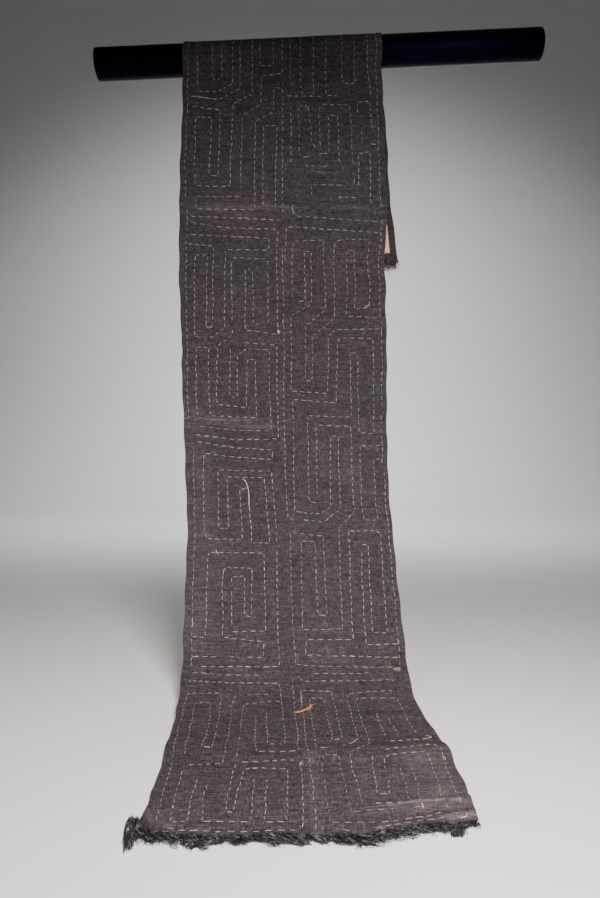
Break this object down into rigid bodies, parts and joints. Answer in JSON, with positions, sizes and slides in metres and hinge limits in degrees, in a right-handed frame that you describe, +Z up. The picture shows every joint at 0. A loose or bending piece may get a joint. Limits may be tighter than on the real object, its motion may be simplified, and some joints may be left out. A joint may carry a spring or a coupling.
{
  "type": "kuba cloth over a bar",
  "caption": "Long dark raffia cloth with running-stitch frets and end fringes, hung over a padded bar, its front end swept forward on the floor.",
  "frame": {"origin": "bottom centre of the bounding box, on the floor", "axes": "+X to the right along the bar as seen from the front, +Y from the front to the back, +Z up"},
  "size_m": [1.3426, 1.031, 1.9187],
  "materials": {
    "raffia_cloth": "dyed raffia weave, near black with a brown cast, its reverse undyed tan",
    "raffia_fringe": "frayed dyed raffia, black",
    "raffia_stitch": "undyed raffia thread, cream to tan",
    "bar_cover": "black pile cover"
  },
  "bodies": {
    "root": {"panel_back": "raffia_cloth", "panel_over_bar": "raffia_cloth", "panel_upper": "raffia_cloth", "panel_lower": "raffia_cloth", "panel_floor": "raffia_cloth", "fringe_back": "raffia_fringe", "fringe_front": "raffia_fringe", "bar": "bar_cover"}
  },
  "joints": []
}
